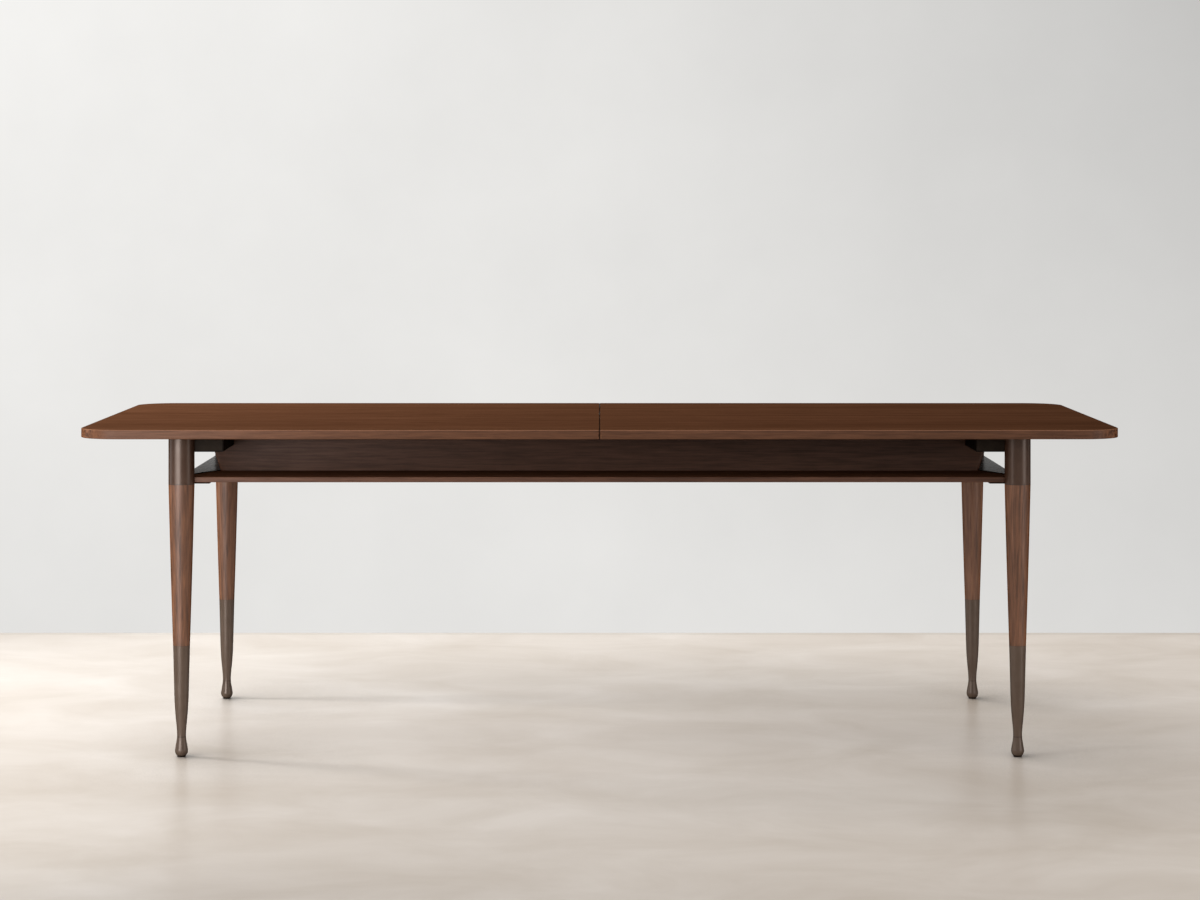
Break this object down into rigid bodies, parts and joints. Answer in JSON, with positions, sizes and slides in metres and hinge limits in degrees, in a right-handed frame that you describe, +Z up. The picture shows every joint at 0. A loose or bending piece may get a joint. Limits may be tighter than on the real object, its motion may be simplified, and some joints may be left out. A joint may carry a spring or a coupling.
{
  "type": "extending dining table",
  "caption": "Long dining table on turned tapered legs: the top parts at the middle on geared slides to take a leaf stored above the shelf between its boards.",
  "frame": {"origin": "on the floor, under the middle of the table", "axes": "+X along the table's length, +Y along its depth, +Z up"},
  "size_m": [2.4, 1.067, 0.762],
  "materials": {
    "top_wood": "satin walnut stain",
    "leg_wood": "satin walnut stain",
    "frame_wood": "satin walnut stain",
    "inner_wood": "plain birch",
    "felt": "matte",
    "collar_bronze": "satin dark bronze",
    "ferrule_bronze": "satin bronze",
    "black_steel": "satin black",
    "black_plastic": "matte",
    "nylon": "matte",
    "brass": "satin",
    "steel": "zinc plated"
  },
  "bodies": {
    "frame": {"apron_back": "frame_wood", "apron_front": "frame_wood", "apron_screws": "steel", "beam_screws": "steel", "bridge_brackets": "steel", "collar_back_left": "collar_bronze", "collar_back_right": "collar_bronze", "collar_front_left": "collar_bronze", "collar_front_right": "collar_bronze", "crossbeam_caps": "black_plastic", "crossbeam_left": "black_steel", "crossbeam_right": "black_steel", "equaliser_bridge": "inner_wood", "ferrule_back_left": "ferrule_bronze", "ferrule_back_right": "ferrule_bronze", "ferrule_front_left": "ferrule_bronze", "ferrule_front_right": "ferrule_bronze", "floor_glides": "black_plastic", "foot_back_left": "ferrule_bronze", "foot_back_right": "ferrule_bronze", "foot_front_left": "ferrule_bronze", "foot_front_right": "ferrule_bronze", "guide_rail_back": "steel", "guide_rail_front": "steel", "leaf_bearers": "felt", "leg_back_left": "leg_wood", "leg_back_right": "leg_wood", "leg_bolts": "steel", "leg_front_left": "leg_wood", "leg_front_right": "leg_wood", "leg_inserts": "brass", "pinion_pin": "steel", "rack_guides": "nylon", "rail_screws": "steel", "rail_stops": "black_plastic", "shelf": "frame_wood", "shelf_bar_left": "black_steel", "shelf_bar_right": "black_steel", "shelf_screws": "steel", "top_glide_pads": "nylon"},
    "left_top": {"top_left": "top_wood", "runners_left": "steel", "slide_shoes_left": "nylon", "rack_left": "steel", "rack_spacer_left": "inner_wood", "top_screws_left": "steel", "alignment_pins": "brass", "latch_pivots": "steel"},
    "right_top": {"top_right": "top_wood", "runners_right": "steel", "slide_shoes_right": "nylon", "rack_right": "steel", "rack_spacer_right": "inner_wood", "top_screws_right": "steel", "latch_keepers": "steel"},
    "pinion": {"pinion": "brass"},
    "leaf": {"leaf": "top_wood", "leaf_pins": "brass"},
    "latch_front": {"latch_front": "steel"},
    "latch_back": {"latch_back": "steel"}
  },
  "joints": [
    {"name": "left_top_slide", "type": "slide", "parent": "frame", "child": "left_top", "axis": [-1, 0, 0], "range_m": [0, 0.2225]},
    {"name": "right_top_slide", "type": "slide", "parent": "frame", "child": "right_top", "axis": [1, 0, 0], "range_m": [0, 0.2225]},
    {"name": "pinion_spin", "type": "hinge", "parent": "frame", "child": "pinion", "pos_m": [0, 0, 0.7095], "axis": [0, 0, -1], "range_deg": [0, 531.3]},
    {"name": "leaf_slide", "type": "slide", "parent": "frame", "child": "leaf", "axis": [1, 0, 0], "range_m": [0, 0.9]},
    {"name": "latch_front_turn", "type": "hinge", "parent": "left_top", "child": "latch_front", "pos_m": [-0.03, -0.3, 0.733], "axis": [0, 0, 1], "range_deg": [0, 90]},
    {"name": "latch_back_turn", "type": "hinge", "parent": "left_top", "child": "latch_back", "pos_m": [-0.03, 0.3, 0.733], "axis": [0, 0, -1], "range_deg": [0, 90]}
  ],
  "couplings": [
    {"joint": "right_top_slide", "follows": "left_top_slide", "ratio": 1},
    {"joint": "pinion_spin", "follows": "left_top_slide", "rad_per_m": 41.667}
  ]
}
